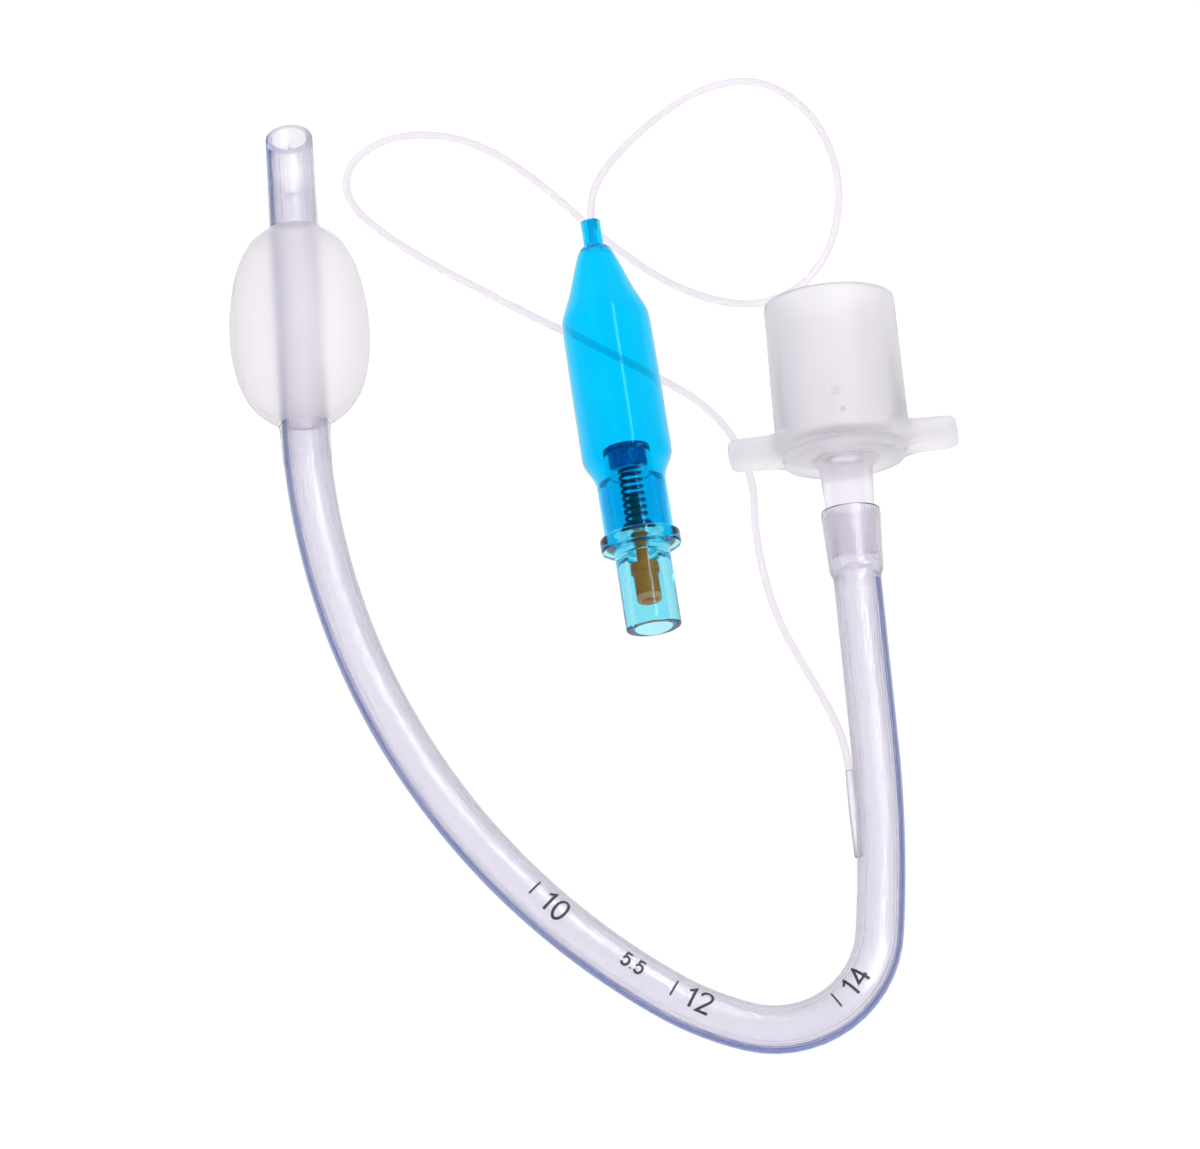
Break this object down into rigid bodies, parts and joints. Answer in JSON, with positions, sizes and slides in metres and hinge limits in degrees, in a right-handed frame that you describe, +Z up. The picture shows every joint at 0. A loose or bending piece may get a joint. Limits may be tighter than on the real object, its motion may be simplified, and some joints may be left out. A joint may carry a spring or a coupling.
{
  "type": "endotracheal tube",
  "caption": "Preformed oral endotracheal tube with bevelled tip, eye, inflated cuff, stretched end on a winged connector, and pilot balloon with a sprung valve.",
  "frame": {"origin": "centre of the tube's, cuff's and connector's bounding box, on the table they rest on", "axes": "+Y from the bend towards the tip and the connector's mouth, the longest way; +X from the tip's leg towards the connector's leg; +Z up from the table"},
  "size_m": [0.0841, 0.1207, 0.0168],
  "materials": {
    "tube_shaft": "clear soft vinyl with a faint violet tint, printed in black",
    "radiopaque_line": "blue strip moulded into the wall",
    "cuff": "thin clear film",
    "connector": "translucent, lightly frosted",
    "line_bond": "clear, set in solvent",
    "inflation_line": "clear fine tubing, slightly milky",
    "pilot_balloon": "bright blue translucent film",
    "valve_housing": "clear pale turquoise",
    "valve_retainer": "clear pale turquoise, seen dark through the balloon",
    "valve_spring": "fine drawn wire",
    "valve_seal": "dark blue, soft",
    "valve_plunger": "brown moulding"
  },
  "bodies": {
    "tube": {"tube_shaft": "tube_shaft", "radiopaque_line": "radiopaque_line", "cuff": "cuff", "connector": "connector", "line_bond": "line_bond", "inflation_line": "inflation_line", "pilot_balloon": "pilot_balloon", "valve_housing": "valve_housing", "valve_retainer": "valve_retainer", "valve_spring": "valve_spring"},
    "plunger": {"valve_plunger": "valve_plunger", "valve_seal": "valve_seal"}
  },
  "joints": [
    {"name": "plunger_press", "type": "slide", "parent": "tube", "child": "plunger", "axis": [-0.1476, 0.9874, 0.0577], "range_m": [0, 0.0015], "stiffness_N_per_m": 400, "springref_m": -0.002, "deforming": ["valve_spring"]}
  ]
}
